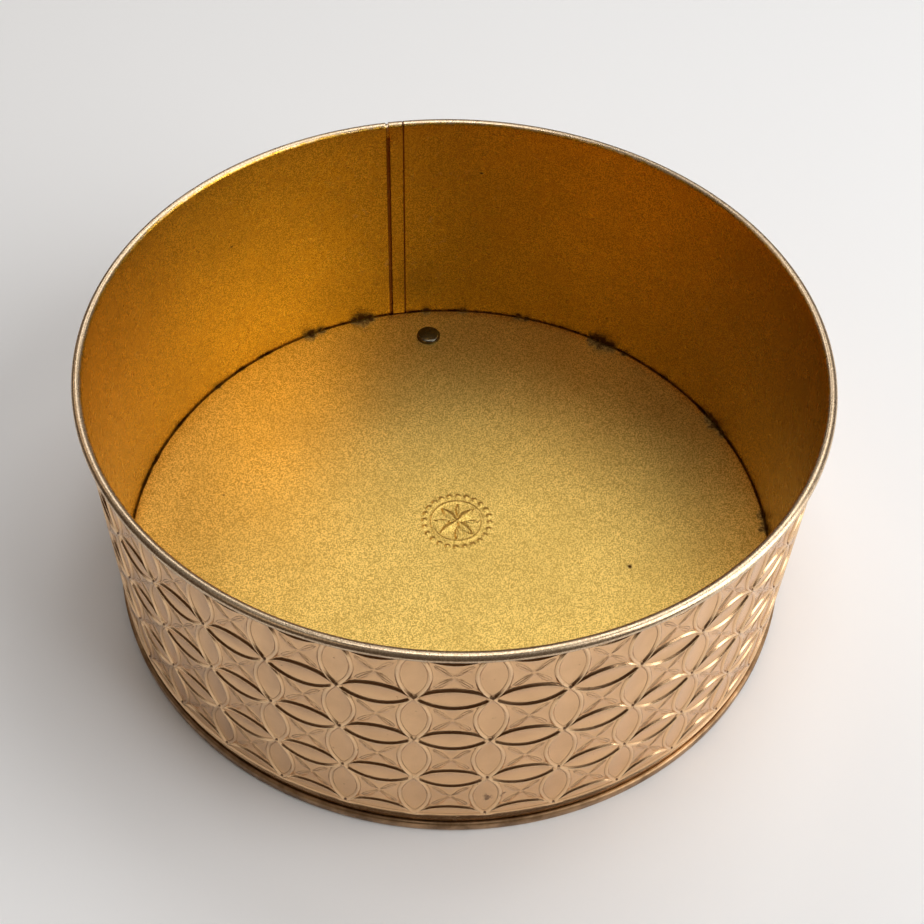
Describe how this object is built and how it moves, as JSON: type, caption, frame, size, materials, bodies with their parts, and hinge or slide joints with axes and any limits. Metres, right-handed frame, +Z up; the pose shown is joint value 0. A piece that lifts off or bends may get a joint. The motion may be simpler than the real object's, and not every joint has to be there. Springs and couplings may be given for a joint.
{
  "type": "cookie tin",
  "caption": "Round open biscuit tin with a curled rim, a seamed bottom, a gold-lacquered inside and an embossed metal sleeve of overlapping circles.",
  "frame": {"origin": "on the surface that the tin stands on, under the centre of the tin", "axes": "+Z up along the tin's axis; +Y towards the side seam's half of the wall, which the seam and the rivet stand beside; +X to the right seen from -Y"},
  "size_m": [0.2, 0.2, 0.082],
  "materials": {
    "gold_lacquer": "gold-lacquered tinplate, satin, with a fine sandy sparkle",
    "rose_gold_metal": "embossed rose-gold metal, soft satin",
    "floor_lacquer": "gold-lacquered tinplate, satin, stained in the corner, bare dull metal on the seam",
    "dark_steel": "dark worn steel"
  },
  "bodies": {
    "root": {"can_wall": "gold_lacquer", "embossed_sleeve": "rose_gold_metal", "bottom_end": "floor_lacquer", "floor_rivet": "dark_steel"}
  },
  "joints": []
}
